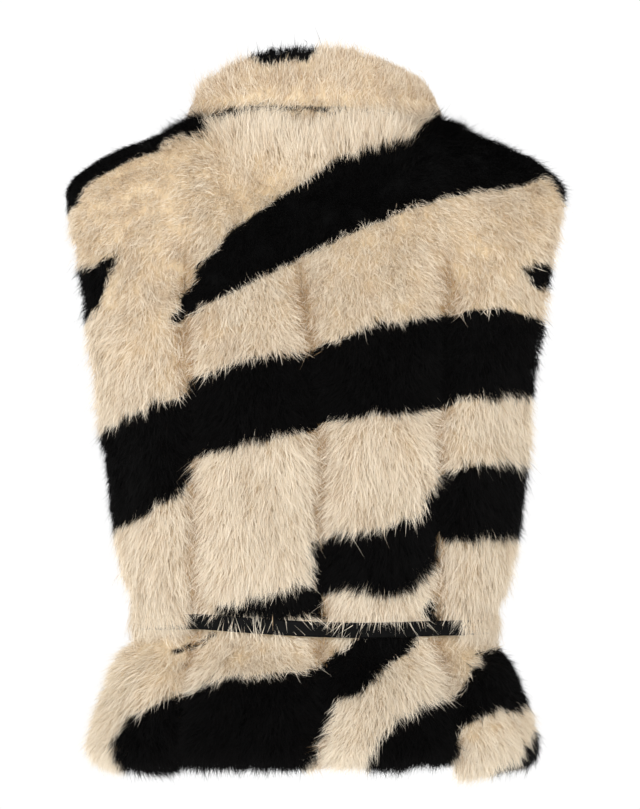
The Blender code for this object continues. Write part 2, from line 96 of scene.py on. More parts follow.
# The nap of the body
CALMING = 0.04, 0.34  # depths over which the pile gets flatter and more orderly
TOP_LEAN, LOWER_LEAN, RISING_LEAN = 36, 13, 80  # at the top, more below, less where it rises
TOP_UNRULY, CALM = 0.75, 0.4  # at the top, and less below and where it rises
OUTWARDS, FORWARDS = 0.2, 0.5  # how much it runs to the side, front or back on the shoulders
NECK_MIDDLE = 0.05, 0.12  # where the hair at the neck ends, from the middle of the back
NECK_RISING = -0.090, -0.006  # heights over which it starts to rise
NECK_TALL, NECK_HEIGHT = (-0.034, -0.008), 0.011  # heights over which it gets taller, and by how much
COLLAR_ENDS = (0.085, 0.10), (0.12, 0.14), (-0.02, 0.0)  # beside the collar: distances out, and heights
ENDS_HEIGHT, TOP_TRIM = 0.006, 0.002  # taller there, and shorter at the top

# Where the garment is slimmer than its even form: ranges to the side, then of height or depth
SLIMMER = 0.004
LEFT_SHOULDER = (0.10, 0.14), (-0.09, -0.05)
LEFT_SIDE = (0.15, 0.17), (0.24, 0.28), (0.40, 0.42)
RIGHT_HIP = (0.14, 0.17), (0.43, 0.45)

# The nap and print of the collar
COLLAR_PARTING = 0.027  # height at which the pile parts, at the back
COLLAR_TOP = 0.3  # faces that look up more than this have rising pile
COLLAR_OUT, COLLAR_LEAN, COLLAR_UNRULY = 0.6, 34.0, 0.5
COLLAR_TRIM = 0.0035  # how much shorter the pile is
RIGHT_TRIM, RIGHT_END = 0.010, (0.03, 0.08)  # more so towards the right
FOOT_TRIM, FOOT_END = 0.005, (0.006, 0.024)  # and at the foot, behind
COLLAR_ROOM = 0.7  # share of the way to the seam that pile below the parting may take
COLLAR_PRINT = -0.045  # the collar is printed behind this place, outside at the back

# Pile by the belt
OVER_END, UNDER_START, UNDER_END = (0.013, 0.020), (0.009, 0.012), (0.016, 0.020)  # from the strap's middle
BESIDE = -0.006, 0.006  # distances past the stretch of strap that shows
OVER_SHARE = 0.48  # share of tufts above the strap that lie over it
UNDER_SHARE, SIDE_SHARE = 0.3, 0.6  # share of those below that rise over it, and more at the sides
BELT_LAP, COVER_LAP = 0.001, 0.010  # how far pile reaches past the strap's edge, and more where it covers
COVER_LEAN, RISE_LEAN = 14, 95  # covering pile leans more, rising pile the other way
COVER_HEIGHT, RISE_HEIGHT = 0.006, 0.003
BELT_CROWD, HEM_CROWD = 6, 1.5  # how much denser tufts are where they hide the strap, and at the hem

# Unevenness of the pile, for a tuft as a whole and for each strand
TURN_WAVE, LEAN_WAVE, HEIGHT_WAVE = (0.26, 0.06), (4, 0.05), (0.4, 0.03)  # size and length of slow waves
TUFT_TURN, TUFT_LOOSE, STRAND_TURN, STRAND_LOOSE = 0.10, 0.35, 0.08, 0.16  # radians, and more if unruly
TUFT_LEAN, STRAND_LEAN = 6, 5
TUFT_HEIGHT, STRAND_HEIGHT = 0.5, 0.0012  # as a share of the usual height, and in metres
FUZZ_POWER = 4  # the higher, the fewer hairs stand out
DARK_TRIM = 0.5  # how much less they stand out in black
HEM_LEAN, HEM_UNEVEN, HEM_CLOSING = 12, 0.0025, 0.6
ROOM_UNEVEN = 0.85, 1.15
TWIST, WIDTHS = 0.7, (0.7, 1.3)

# Guard hairs: their share, and how much steeper, longer and thinner they are
GUARD_SHARE, GUARD_LEAN, GUARD_LENGTH, GUARD_THIN = 0.12, 7, 0.40, 0.55

# The form of a strand
ROOT_SHARE = 0.6  # the deepest root, as a share of the cloth's thickness
CURL, BELT_CURL = 18, 18  # how far it bends to each side of its lean, and more by the belt
STEEP, FLAT = (4, 70), (20, 88)  # least and most lean of its first and second half
LEAST_RISE, SHORTEST, LEAST_DROP, LEAST_ROOM = 0.004, 0.008, 0.05, 0.2

# Colours of strands. Tints run from 0 for tan to 1 for the palest
SHOWN = 0.6  # how far from root to tip a strand takes its colour
RAGGED, RAGGED_LENGTHS = 0.002, (0.02, 0.016)  # waves of a stripe's edge, sideways and upwards
TINT, TINT_UNEVEN, TUFT_TINT, STRAND_TINT = 0.58, 0.05, 0.07, 0.12
BROAD_PATCHES, FINE_PATCHES = (0.6, 0.05), (0.5, 0.015)  # stretch and length of patches of one tint
SEAM_TAN_AND_SHADE, SEAM_MIXED = 0.5, 0.2  # how much darker, with tan and painted shade, and more mixed it is by a seam
# How much painted shade darkens the pile at the top of the body, and on the collar
TOP_PAINTED_SHADE, COLLAR_PAINTED_SHADE = 0.06, 0.18
SKIRT_PAINTED_LIGHT, SKIRT = 0.14, (0.42, 0.47)  # how much painted light makes it paler below the belt, and from which depths

# Underfur and print
SHELL_DEPTH, SHELL_SHARE = 0.8, 0.5  # depth as a share of the roots', and at most of the cloth's thickness
STRIPE_RANGE = 0.2  # how far round a stripe's edge the underfur knows its distance
PALE_LAP, LAP_DEPTHS = 4.5, (100, 300)  # how far pale tips hang over a stripe, and where, in millimetres

# Black stripes of the print on each cut piece, charted in millimetres.
# One row for each station of a stripe: x, upper edge z, lower edge z
STRIPES = {
    "back_side_left": (
        ((-230, 90, -94), (-208, 90, -66), (-195, 90, -44), (-172, 90, -31), (-145, 90, -20), (-95, 90, 1)),
        ((-215, -124, -174), (-198, -121, -168), (-184, -115, -148), (-169, -109, -115)),
        ((-121, -164, -168), (-112, -147, -164), (-100, -125, -155)),
        ((-190, -268, -350), (-174, -258, -346), (-155, -248, -335), (-115, -234, -311), (-100, -224, -297)),
        ((-122, -452, -450), (-108, -446, -444.5), (-96, -440, -439)),
        ((-172, -532, -540), (-158, -510, -555), (-134, -497, -575), (-100, -482, -580)),
    ),
    "back_centre_left": (
        ((-120, 60, -1), (-95, 60, 6), (-66, 60, 12)),
        ((-120, -162, -172), (-108, -142, -161), (-97, -122, -153),
         (-72, -92, -142), (-38, -67, -125), (8, -36, -104)),
        ((-120, -226, -290), (-97, -216, -280), (-55, -201, -269), (-13, -195, -260), (12, -191, -256)),
        ((-84, -414, -420), (-43, -403, -420), (-20, -396, -419), (14, -387, -417)),
        ((-1, -362, -404), (12, -355, -404)),
        ((-118, -452, -451), (-100, -442, -441), (-84, -434, -432)),
        ((-125, -491, -575), (-73, -472, -575), (-38, -469, -575), (-12, -467, -541), (12, -463, -515)),
    ),
    "back_centre_right": (
        ((-22, -57, -118), (-4, -44, -108), (21, -26, -95), (55, -15, -80),
         (82, -8, -69), (95, 2, -66), (104, 18, -62), (120, 50, -59)),
        ((-10, -197, -260), (13, -186, -249), (55, -173, -244), (89, -166, -242), (125, -160, -236)),
        ((-4, -355, -404), (12, -353, -394), (46, -348, -395),
         (68, -344, -398), (84, -336, -391), (97, -320, -378)),
        ((90, -327, -386), (97, -317, -378), (104, -304, -366), (114, -297, -352)),
        ((93, -414, -416), (100, -406, -421), (106, -405, -421)),
        ((-5, -463, -520), (8, -458, -512), (15, -455, -490),
         (24, -448, -482), (36, -439, -480), (52, -433, -465)),
        ((50, -433, -467), (66, -433, -454), (86, -436, -441)),
        ((45, -537, -545), (55, -521, -575), (70, -507, -575),
         (89, -497, -575), (112, -492, -546), (125, -487, -522)),
    ),
    "back_side_right": (
        ((70, -10, -66), (95, 2, -63), (104, 18, -61), (114, 90, -59), (133, 90, -56), (175, 90, -49),
         (187, 90, -45), (197, 60, -38), (206, 10, -44), (212, 0, -53), (217, 0, -63), (222, 0, -74)),
        ((179, -122, -126), (186, -117, -134), (195, -117, -138), (212, -119, -137)),
        ((100, -167, -238), (125, -159, -233), (160, -156, -229), (200, -168, -230), (215, -173, -232)),
        ((100, -310, -352), (108, -301, -352), (116, -297, -352), (150, -293, -352), (190, -295, -353)),
        ((108, -494, -546), (118, -490, -525), (126, -483, -508), (145, -456, -501), (159, -453, -496)),
        ((157, -453, -498), (170, -455, -500), (205, -458, -502)),
        ((150, -550, -575), (172, -548, -575), (186, -534, -575), (194, -524, -575), (205, -514, -575)),
    ),
    "front_left": (
        ((-230, 90, -92), (-200, 90, -50), (-170, 90, -36), (-130, 90, -40), (-100, 90, -20), (-70, 90, 10)),
        ((-215, -116, -164), (-195, -112, -160), (-150, -102, -146),
         (-90, -98, -140), (-40, -106, -136), (-6, -118, -128)),
        ((-195, -268, -346), (-160, -250, -332), (-110, -226, -300), (-60, -206, -270), (0, -196, -248)),
        ((-150, -386, -392), (-100, -356, -392), (-50, -330, -382), (0, -316, -360)),
        ((-205, -500, -575), (-160, -482, -575), (-110, -478, -545), (-60, -470, -520), (-10, -472, -500)),
    ),
    "front_right": (
        ((70, 90, 0), (100, 90, -28), (140, 90, -50), (180, 90, -48), (230, 90, -46)),
        ((12, -152, -158), (60, -122, -160), (110, -104, -150), (160, -104, -140), (215, -110, -134)),
        ((0, -214, -262), (60, -196, -258), (120, -178, -244), (170, -170, -234), (215, -172, -232)),
        ((0, -330, -372), (60, -316, -366), (120, -304, -358), (195, -293, -353)),
        ((112, -470, -474), (145, -465, -492), (175, -458, -500), (205, -458, -502)),
        ((10, -520, -545), (60, -486, -545), (110, -474, -536),
         (150, -484, -535), (186, -520, -575), (205, -492, -575)),
    ),
    "collar": (
        ((-54, 80, 62), (-40, 80, 57), (-10, 80, 59), (4, 80, 64)),
        ((-104, 12, 3), (-84, 16, 6), (-60, 18, 12), (-36, 18, 15),
         (-12, 17, 14.5), (26, 16, 13.5), (66, 13, 10)),
    ),
}

# The picture and its light
PICTURE_ROWS = 809
SENSOR = 36.0
ROOM_SIDES, ROOM_SHARE = (-0.5, 0.4), 0.5  # the surround dims from the camera's side to this share behind
BACKDROP_SIDES, BACKDROP = (0.90, 0.96), 1.02  # where the backdrop starts, straight behind, and its light
KEY_PLACE, KEY_TURN, KEY_SIZE = (-0.9, -2.2, 0.1), (82, 0, -22), 1.4
FLOOR_HALF, FLOOR_HEIGHT = 2, -1.3


def linear(colour):
    """An sRGB colour written as six hex digits, in linear light."""
    parts = np.array([int(colour[k:k + 2], 16) for k in (0, 2, 4)]) / 255
    return tuple(np.where(parts <= 0.04045, parts / 12.92, ((parts + 0.055) / 1.055) ** 2.4))


class FurSettings(bpy.types.PropertyGroup):
    """Sizes and colours of the fur cloth."""

    proud: bpy.props.FloatProperty(
        name="Proud", description="How far tips stand past the solid's surface",
        default=0.0008, unit="LENGTH",
    )
    stray: bpy.props.FloatProperty(
        name="Stray", description="How much farther a few stray hairs stand",
        default=0.007, unit="LENGTH",
    )
    fuzz: bpy.props.FloatProperty(
        name="Fuzz", description="How much farther the highest of the other hairs stand",
        default=0.006, unit="LENGTH",
    )
    root_depth: bpy.props.FloatProperty(
        name="Root depth", description="How far roots lie under the solid's surface",
        default=0.0085, unit="LENGTH",
    )
    longest: bpy.props.FloatProperty(
        name="Longest", description="Longest strand", default=0.032, unit="LENGTH"
    )
    strand_width: bpy.props.FloatProperty(
        name="Strand width", description="Width of a strand at its middle",
        default=0.00045, unit="LENGTH",
    )
    tuft_radius: bpy.props.FloatProperty(
        name="Tuft radius", description="How far a tuft's roots lie from its middle",
        default=0.0035, unit="LENGTH",
    )
    tuft_strands: bpy.props.IntProperty(
        name="Tuft strands", description="Strands in one tuft", default=12
    )
    closing: bpy.props.FloatProperty(
        name="Closing", description="Share of its width that a tuft keeps at its tips",
        default=0.45, subtype="FACTOR",
    )
    cream_tip: bpy.props.FloatVectorProperty(
        name="Cream tips", description="Colour of pale tips", subtype="COLOR", default=linear("F8EEDC")
    )
    cream: bpy.props.FloatVectorProperty(
        name="Cream", description="Colour of the pale pile", subtype="COLOR", default=linear("F6EAD6")
    )
    # Roots and underfur are darker than the cream: painted shade deep in the pile
    cream_root: bpy.props.FloatVectorProperty(
        name="Cream roots", description="Colour of pale roots and underfur",
        subtype="COLOR", default=linear("E2CDAC"),
    )
    # The dark end of the pale pile's tints: its own tan, and painted shade by the seams, at the top and on
    # the collar
    tan: bpy.props.FloatVectorProperty(
        name="Tan", description="Tone laid over pale pile beside the seams",
        subtype="COLOR", default=linear("BC9F78"),
    )
    black: bpy.props.FloatVectorProperty(
        name="Black", description="Colour of the dark pile", subtype="COLOR", default=linear("060606")
    )
    black_tip: bpy.props.FloatVectorProperty(
        name="Black tips", description="Colour of dark tips", subtype="COLOR", default=linear("0C0B0B")
    )
    backing: bpy.props.FloatVectorProperty(
        name="Backing", description="Colour of the knitted backing",
        subtype="COLOR", default=linear("CDBB9C"),
    )


class BeltSettings(bpy.types.PropertyGroup):
    """Place and colours of the belt."""

    half_width: bpy.props.FloatProperty(
        name="Half width", description="Half the strap's width", default=0.0065, unit="LENGTH"
    )
    shown_from: bpy.props.FloatProperty(
        name="Shown from", description="Where the strap comes out of the fur on the left",
        default=-0.110, unit="LENGTH",
    )
    shown_to: bpy.props.FloatProperty(
        name="Shown to", description="Where the strap goes into the fur on the right",
        default=0.124, unit="LENGTH",
    )
    leather: bpy.props.FloatVectorProperty(
        name="Leather", description="Colour of the strap", subtype="COLOR", default=linear("050505")
    )
    metal: bpy.props.FloatVectorProperty(
        name="Metal", description="Colour of the buckle", subtype="COLOR", default=linear("55555A")
    )


class StageSettings(bpy.types.PropertyGroup):
    """Camera, lights and floor."""

    distance: bpy.props.FloatProperty(
        name="Distance", description="From the camera to the garment's middle",
        default=2.8, unit="LENGTH",
    )
    pixel: bpy.props.FloatProperty(
        name="Pixel", description="Size of one of the picture's pixels at the garment",
        default=0.00088, unit="LENGTH",
    )
    aim_x: bpy.props.FloatProperty(
        name="Aim X", description="Where the camera looks", default=0.0044, unit="LENGTH"
    )
    aim_z: bpy.props.FloatProperty(
        name="Aim Z", description="Where the camera looks", default=-0.236, unit="LENGTH"
    )
    surround: bpy.props.FloatProperty(name="Surround", description="Light from all round", default=1.80)
    ceiling: bpy.props.FloatProperty(
        name="Ceiling", description="Share of that light that comes from straight above",
        default=0.40, subtype="FACTOR",
    )
    key: bpy.props.FloatProperty(
        name="Key", description="Power of the main lamp", default=13.0, subtype="POWER"
    )
    floor: bpy.props.FloatVectorProperty(
        name="Floor", description="Colour of the floor", subtype="COLOR", default=linear("F4F3F1")
    )


def unit(vectors):
    """Vectors over their own lengths."""
    return vectors / np.maximum(np.linalg.norm(vectors, axis=-1, keepdims=True), 1e-12)


def ease(value, start, end):
    """0 before start and 1 after end, with a smooth climb between them."""
    share = np.clip((value - start) / (end - start), 0, 1)
    return share * share * (3 - 2 * share)


def band(value, climb, fall):
    """1 between two ranges, with a smooth climb over the first and fall over the second."""
    return ease(value, *climb) * (1 - ease(value, *fall))


def waves(places, length, rng, count=6):
    """Smooth unevenness from about -1 to 1.

    Sine waves of about this length in random directions, added and divided by the root of their number.
    """
    ways = unit(rng.normal(size=(count, 3))) * 2 * np.pi / (length * rng.uniform(0.7, 1.4, (count, 1)))
    return np.sin(places @ ways.T + rng.uniform(0, 2 * np.pi, count)).sum(axis=1) / np.sqrt(count)


def solid_mesh(name):
    """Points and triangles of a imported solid, whose loose triangles are joined at their corners."""
    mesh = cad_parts[name].data
    places = np.empty(len(mesh.vertices) * 3)
    mesh.vertices.foreach_get("co", places)
    mesh.calc_loop_triangles()
    faces = np.empty(len(mesh.loop_triangles) * 3, int)
    mesh.loop_triangles.foreach_get("vertices", faces)
    places = places.reshape(-1, 3)
    cells = (places / JOIN).round().astype(int)
    _, first, joined = np.unique(cells, axis=0, return_index=True, return_inverse=True)
    return places[first], joined.ravel()[faces].reshape(-1, 3)


def face_normals(points, faces):
    """Normals of triangles, each as long as twice its area."""
    a, b, c = points[faces].transpose(1, 0, 2)
    return np.cross(b - a, c - a)


def face_edges(faces):
    """The three edges of each triangle in turn, each with its lower point first."""
    return np.sort(faces[:, [[0, 1], [1, 2], [2, 0]]].reshape(-1, 2), axis=1)


def point_normals(points, faces, normals):
    """Mean normals of the points of these triangles, and 0 at other points."""
    total = np.zeros_like(points)
    np.add.at(total, faces.ravel(), np.repeat(normals, 3, axis=0))
    return unit(total)


def nearest(places, targets):
    """Distance from each place to the nearest target, and that target's number."""
    apart = np.linalg.norm(places[:, None] - targets[None], axis=2)
    return apart.min(axis=1), apart.argmin(axis=1)


def away_from_axis(places):
    """The way out from the nearest point of the wearer's upright axis, which ends below the shoulders."""
    on_axis = places * [0, 0, 1]
    on_axis[:, 2] = np.minimum(on_axis[:, 2], AXIS_TOP)
    return unit(places - on_axis)


def strap_height(places):
    """Height of the strap's middle beside each place: halfway between its edges, in sectors of a turn."""
    strap = solid_mesh("belt_strap")[0]
    share = np.arctan2(strap[:, 1], strap[:, 0]) / (2 * np.pi) + 0.5
    sector = (share * STRAP_SECTORS).astype(int) % STRAP_SECTORS
    lower, upper = np.full(STRAP_SECTORS, np.inf), np.full(STRAP_SECTORS, -np.inf)
    np.minimum.at(lower, sector, strap[:, 2])
    np.maximum.at(upper, sector, strap[:, 2])
    turns = ((np.arange(STRAP_SECTORS) + 0.5) / STRAP_SECTORS - 0.5) * 2 * np.pi
    return np.interp(np.arctan2(places[:, 1], places[:, 0]), turns, (lower + upper) / 2, period=2 * np.pi)


class Coat:
    """The side of a solid that carries pile: its faces, and what its points know about the cloth there.

    Walls between pieces carry none. depth is the cloth's thickness below a point, to_seam its distance from
    the nearest seam, from_seam the way from that seam, and rim_normals look out of the cloth's edges.
    """

    def __init__(self, name, least):
        points, faces = self.points, self.all_faces = solid_mesh(name)
        normals = face_normals(points, faces)
        outward = away_from_axis(points[faces].mean(axis=1))
        facing = (unit(normals) * outward).sum(axis=1)
        others = np.concatenate([solid_mesh(other)[0] for other in STRIPES if other != name])
        between = (nearest(points, others)[0] < SEAM_TOUCH)[faces].all(axis=1)
        self.chosen = (facing > least) & ~between
        inside = (facing < -INNER_FACES) & ~between
        edge = ~self.chosen & ~inside
        self.faces = faces[self.chosen]
        self.rim_normals = point_normals(points, faces[edge], normals[edge])
        self.normals = point_normals(points, self.faces, normals[self.chosen])
        on_coat = np.zeros(len(points), bool)
        on_coat[self.faces] = True
        self.depth = np.where(on_coat, nearest(points, points[~on_coat])[0], 0)
        rim = self.rim_places()
        seam = rim[nearest(rim, others)[0] < SEAM_TOUCH]
        self.to_seam, foot = nearest(points, seam)
        self.from_seam = unit(points - seam[foot])

    def rim_places(self):
        """Places along the edges that only one face of the coat has."""
        edges, uses = np.unique(face_edges(self.faces), axis=0, return_counts=True)
        start, end = self.points[edges[uses == 1]].transpose(1, 0, 2)
        share = np.linspace(0, 1, 5)[:, None, None]
        return ((1 - share) * start + share * end).reshape(-1, 3)

    def scatter(self, count, rng, crowding):
        """A function that gives values of the coat's points at places spread at random over its faces.

        crowding gives how much closer together than elsewhere they lie at a place.
        """
        area = np.linalg.norm(face_normals(self.points, self.faces), axis=1)
        area = area * crowding(self.points[self.faces].mean(axis=1))
        corners = self.faces[rng.choice(len(self.faces), count, p=area / area.sum())]
        s, t = rng.random((2, count))
        s, t = np.where(s + t > 1, 1 - s, s), np.where(s + t > 1, 1 - t, t)
        weights = np.stack([1 - s - t, s, t], axis=1)
        return lambda values: np.einsum("nk,nk...->n...", weights, values[corners])


def in_black(name, places):
    """How far inside a black stripe places lie, in metres, and under 0 outside the stripes.

    Pale tips hang over the upper edges that show, so the print itself starts a little higher.
    """
    x, z = places[:, 0] / MM, places[:, 2] / MM
    inside = np.full(len(places), -np.inf)
    for stripe in STRIPES[name]:
        stations, upper, lower = np.array(stripe, float).T
        top = np.interp(x, stations, upper) + PALE_LAP * ease(-z, *LAP_DEPTHS)
        margins = (x - stations[0], stations[-1] - x, top - z, z - np.interp(x, stations, lower))
        inside = np.maximum(inside, np.min(margins, axis=0))
    if name == "collar":
        inside = np.minimum(inside, (COLLAR_PRINT - places[:, 1]) / MM)
    return inside * MM


def halved(points, faces):
    """Points and triangles of a mesh whose triangles are split into four at the middles of their edges."""
    edges, number = np.unique(face_edges(faces), axis=0, return_inverse=True)
    (a, b, c), (ab, bc, ca) = faces.T, len(points) + number.reshape(-1, 3).T
    parts = np.array([(a, ab, ca), (ab, b, bc), (ca, bc, c), (ab, bc, ca)])
    return np.concatenate([points, points[edges].mean(axis=1)]), parts.transpose(2, 0, 1).reshape(-1, 3)


def new_object(name, data):
    """An object with this data, in the scene."""
    made = bpy.data.objects.new(name, data)
    bpy.context.scene.collection.objects.link(made)
    return made


def face_mesh(name, points, faces):
    """A smooth piece with these points and faces."""
    mesh = bpy.data.meshes.new(name)
    mesh.from_pydata(points, [], faces.tolist())
    mesh.shade_smooth()
    return new_object(name, mesh)


def strand_mesh(name, paths, across, rows):
    """Strands as one mesh of curved diamonds, two triangles each.

    paths holds the root, middle and tip of each strand, and across half of its width at the middle. Root and
    tip are points. A strand's UV place is its colour row across and the share of the way to the tip upwards.
    """
    count = len(paths)
    points = np.stack([paths[:, 0], paths[:, 1] - across, paths[:, 1] + across, paths[:, 2]], axis=1)
    corners = np.array([0, 2, 1, 1, 2, 3])
    loops = (np.arange(count)[:, None] * 4 + corners).ravel()

    mesh = bpy.data.meshes.new(name)
    mesh.vertices.add(count * 4)
    mesh.vertices.foreach_set("co", points.astype(np.float32).ravel())
    mesh.loops.add(len(loops))
    mesh.loops.foreach_set("vertex_index", loops.astype(np.int32))
    mesh.polygons.add(count * STRAND_TRIANGLES)
    mesh.polygons.foreach_set("loop_start", np.arange(0, len(loops), 3, dtype=np.int32))
    mesh.update(calc_edges=True)
    mesh.shade_smooth()

    sideways = rows[:, None] + ROW_REACH * np.array([0, -1, 1, 0])
    uv = np.stack(np.broadcast_arrays(sideways, [0, 0.5, 0.5, 1]), axis=2)
    mesh.uv_layers.new(name=UV_MAP).uv.foreach_set("vector", uv[:, corners].astype(np.float32).ravel())
    return new_object(name, mesh)


def add_node(tree, kind, inputs=(), stops=(), **settings):
    """A shader node with its settings, a ramp's stops, and values or links for inputs by name or number."""
    made = tree.nodes.new("ShaderNode" + kind)
    for name, value in settings.items():
        setattr(made, name, value)
    for socket, value in inputs:
        if isinstance(value, bpy.types.NodeSocket):
            tree.links.new(value, made.inputs[socket])
        else:
            made.inputs[socket].default_value = value
    for k, (place, colour) in enumerate(stops):
        if k > 1:
            made.color_ramp.elements.new(place)
        made.color_ramp.elements[k].position = place
        made.color_ramp.elements[k].color = (*colour, 1)
    return made


def toned(colour, share):
    """A colour times this share."""
    return tuple(share * part for part in colour)


def new_material(name, **values):
    """A material with one Principled shader, whose sockets get these values, and its node tree and shader."""
    material = bpy.data.materials.new(name)
    material.use_nodes = True
    shader = material.node_tree.nodes["Principled BSDF"]
    for socket, value in values.items():
        shader.inputs[socket.replace("_", " ")].default_value = value
    return material, material.node_tree, shader


def pile_material(fur):
    """Long faux fur: acrylic fibres, paler at their tips, that scatter light softly and hardly shine.

    The darker colour towards their roots is painted shade deep in the pile.
    """
    material, tree, shader = new_material("acrylic fur pile", Roughness=0.7, Specular_IOR_Level=0.08)
    place = add_node(tree, "UVMap", uv_map=UV_MAP)
    parts = add_node(tree, "SeparateXYZ", [(0, place.outputs[0])])
    row, along = parts.outputs[0], parts.outputs[1]
    # From the darker roots, which are painted shade, over the cream to the palest tips
    pale_stops = [(0.0, fur.cream_root), (0.5, fur.cream), (1.0, fur.cream_tip)]
    # The tan end of the tints is partly painted shade: by the seams, at the top and on the collar
    tone_stops = [(FIRST_ROW, fur.tan), (WARM_ROW, WARM_TONE), (FIRST_ROW + PALE_SPAN, (1, 1, 1))]
    pale = add_node(tree, "ValToRGB", [(0, along)], pale_stops)
    dark = add_node(tree, "ValToRGB", [(0, along)], [(0.0, fur.black), (1.0, fur.black_tip)])
    tone = add_node(tree, "ValToRGB", [(0, row)], tone_stops)
    inputs = [(0, 1.0), (6, pale.outputs[0]), (7, tone.outputs[0])]
    tinted = add_node(tree, "Mix", inputs, data_type="RGBA", blend_type="MULTIPLY")
    is_dark = add_node(tree, "Math", [(0, row), (1, DARK_ROWS)], operation="GREATER_THAN")
    inputs = [(0, is_dark.outputs[0]), (6, tinted.outputs[2]), (7, dark.outputs[0])]
    colour = add_node(tree, "Mix", inputs, data_type="RGBA")
    tree.links.new(colour.outputs[2], shader.inputs["Base Color"])
    return material


def underfur_material(fur):
    """The dense short hair between the strands: dull, darker than the pile, in fine upright streaks.

    Its darker tone, and the darker side of its streaks, is painted shade deep in the pile.
    """
    material, tree, shader = new_material("acrylic underfur", Roughness=0.9, Specular_IOR_Level=0.1)
    place = add_node(tree, "TexCoord")
    stretched = add_node(tree, "Mapping", [(0, place.outputs["Object"]), ("Scale", (1, 1, 0.25))])
    streaks = add_node(tree, "TexNoise", [(0, stretched.outputs[0]), ("Scale", 420.0), ("Detail", 3.0)])
    stripe = add_node(tree, "Attribute", attribute_name="stripe")
    # Streaks darken to three quarters of the roots' colour: painted shade in the depths of the pile
    stops = [(0.3, toned(fur.cream_root, 0.74)), (0.7, fur.cream_root)]
    pale = add_node(tree, "ValToRGB", [(0, streaks.outputs[0])], stops)
    share = add_node(tree, "MapRange", [(0, stripe.outputs["Fac"]), (1, 0.488), (2, 0.5)])
    inputs = [(0, share.outputs[0]), (6, pale.outputs[0]), (7, (*fur.black, 1))]
    colour = add_node(tree, "Mix", inputs, data_type="RGBA")
    bump = add_node(tree, "Bump", [("Height", streaks.outputs[0]), ("Strength", 0.6), ("Distance", 0.002)])
    tree.links.new(colour.outputs[2], shader.inputs["Base Color"])
    tree.links.new(bump.outputs[0], shader.inputs["Normal"])
    return material


def backing_material(fur):
    """The knitted ground that the pile is locked into: matt, with fine ribs.

    Real ribs are too fine to show, so they are drawn 1.5 mm apart, as coarse as they need to be.
    """
    material, tree, shader = new_material("knitted backing", Roughness=0.9, Specular_IOR_Level=0.2)
    place = add_node(tree, "TexCoord").outputs["Object"]
    inputs = [(0, place), ("Scale", 105.0), ("Distortion", 1.2)]
    ribs = add_node(tree, "TexWave", inputs, bands_direction="X")
    inputs = [(0, place), ("Scale", 160.0), ("Distortion", 1.5)]
    rows = add_node(tree, "TexWave", inputs, bands_direction="Z")
    knit = add_node(tree, "Math", [(0, ribs.outputs["Fac"]), (1, rows.outputs["Fac"])], operation="MULTIPLY")
    stops = [(0.0, toned(fur.backing, 0.72)), (0.6, fur.backing)]
    colour = add_node(tree, "ValToRGB", [(0, knit.outputs[0])], stops)
    bump = add_node(tree, "Bump", [("Height", knit.outputs[0]), ("Strength", 0.5), ("Distance", 0.0008)])
    tree.links.new(colour.outputs[0], shader.inputs["Base Color"])
    tree.links.new(bump.outputs[0], shader.inputs["Normal"])
    return material


def leather_material(belt):
    """Black calf leather: finished smooth, with a fine pebbled grain and a soft shine."""
    material, tree, shader = new_material("black calf leather", Roughness=0.30, Specular_IOR_Level=0.045)
    place = add_node(tree, "TexCoord").outputs["Object"]
    grain = add_node(tree, "TexVoronoi", [(0, place), ("Scale", 1100.0)], feature="SMOOTH_F1")
    wear = add_node(tree, "TexNoise", [(0, place), ("Scale", 60.0), ("Detail", 4.0)])
    stops = [(0.35, belt.leather), (0.8, toned(belt.leather, 2.2))]
    colour = add_node(tree, "ValToRGB", [(0, wear.outputs[0])], stops)
    rough = add_node(tree, "MapRange", [(0, wear.outputs[0]), (1, 0.3), (2, 0.7), (3, 0.30), (4, 0.48)])
    bump = add_node(tree, "Bump", [("Height", grain.outputs[0]), ("Strength", 0.25), ("Distance", 0.0003)])
    tree.links.new(colour.outputs[0], shader.inputs["Base Color"])
    tree.links.new(rough.outputs[0], shader.inputs["Roughness"])
    tree.links.new(bump.outputs[0], shader.inputs["Normal"])
    return material


def metal_material(belt):
    """Gun-metal plate on zinc: dark, satin, with fine rubbed lines."""
    material, tree, shader = new_material("gunmetal plated zinc", Metallic=1.0, Roughness=0.32)
    place = add_node(tree, "TexCoord")
    stretched = add_node(tree, "Mapping", [(0, place.outputs["Object"]), ("Scale", (0.15, 1, 1))])
    rubbed = add_node(tree, "TexNoise", [(0, stretched.outputs[0]), ("Scale", 900.0), ("Detail", 3.0)])
    stops = [(0.3, toned(belt.metal, 0.6)), (0.7, belt.metal)]
    colour = add_node(tree, "ValToRGB", [(0, rubbed.outputs[0])], stops)
    rough = add_node(tree, "MapRange", [(0, rubbed.outputs[0]), (1, 0.3), (2, 0.7), (3, 0.24), (4, 0.42)])
    tree.links.new(colour.outputs[0], shader.inputs["Base Color"])
    tree.links.new(rough.outputs[0], shader.inputs["Roughness"])
    return material


